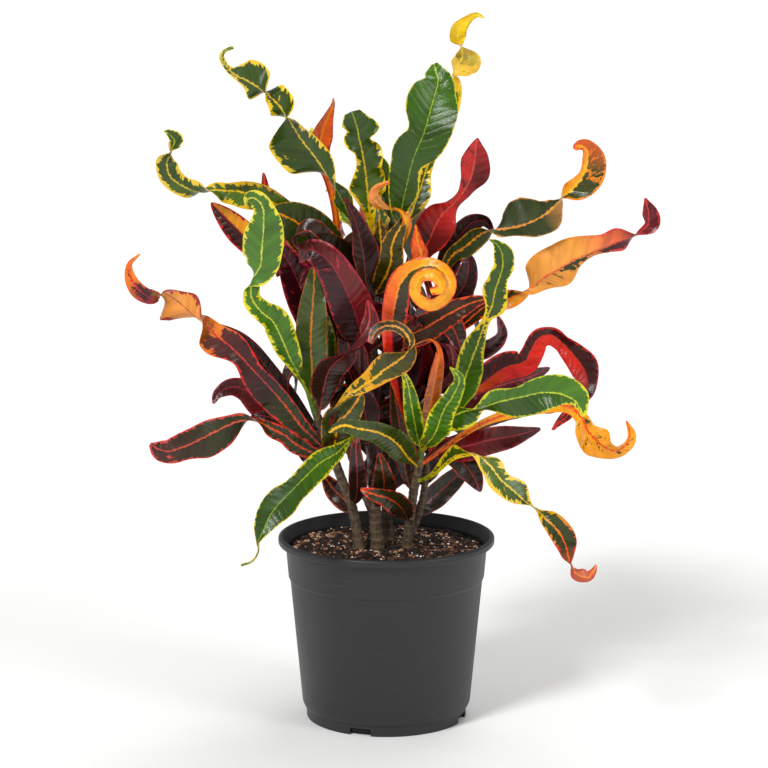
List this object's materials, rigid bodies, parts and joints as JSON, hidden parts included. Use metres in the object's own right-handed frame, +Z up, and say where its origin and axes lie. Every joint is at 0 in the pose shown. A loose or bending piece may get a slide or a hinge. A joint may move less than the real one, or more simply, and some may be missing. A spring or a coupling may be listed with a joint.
{
  "type": "potted croton",
  "caption": "Clump of croton plants with long twisted, ruffled leaves in green, gold, orange and maroon, standing in a round tapered grower's pot.",
  "frame": {"origin": "centre of the flat underside of the pot, on the surface that it stands on", "axes": "+Z up, -Y towards the side that the picture shows, +X to the right seen from there"},
  "size_m": [0.5719, 0.5117, 0.7778],
  "materials": {
    "pot_plastic": "satin black moulded plastic",
    "potting_mix": "rough bark, peat and perlite",
    "mature_foliage": "glossy leathery leaf, maroon and olive with red ribs and margins",
    "young_foliage": "glossy leathery leaf, green with yellow ribs and margins"
  },
  "bodies": {
    "root": {"pot": "pot_plastic", "potting_mix": "potting_mix", "centre_plant": "mature_foliage", "centre_young_shoot": "young_foliage", "left_plant": "mature_foliage", "left_young_shoot": "young_foliage", "right_plant": "mature_foliage", "right_young_shoot": "young_foliage", "back_plant": "mature_foliage", "back_young_shoot": "young_foliage"}
  },
  "joints": []
}
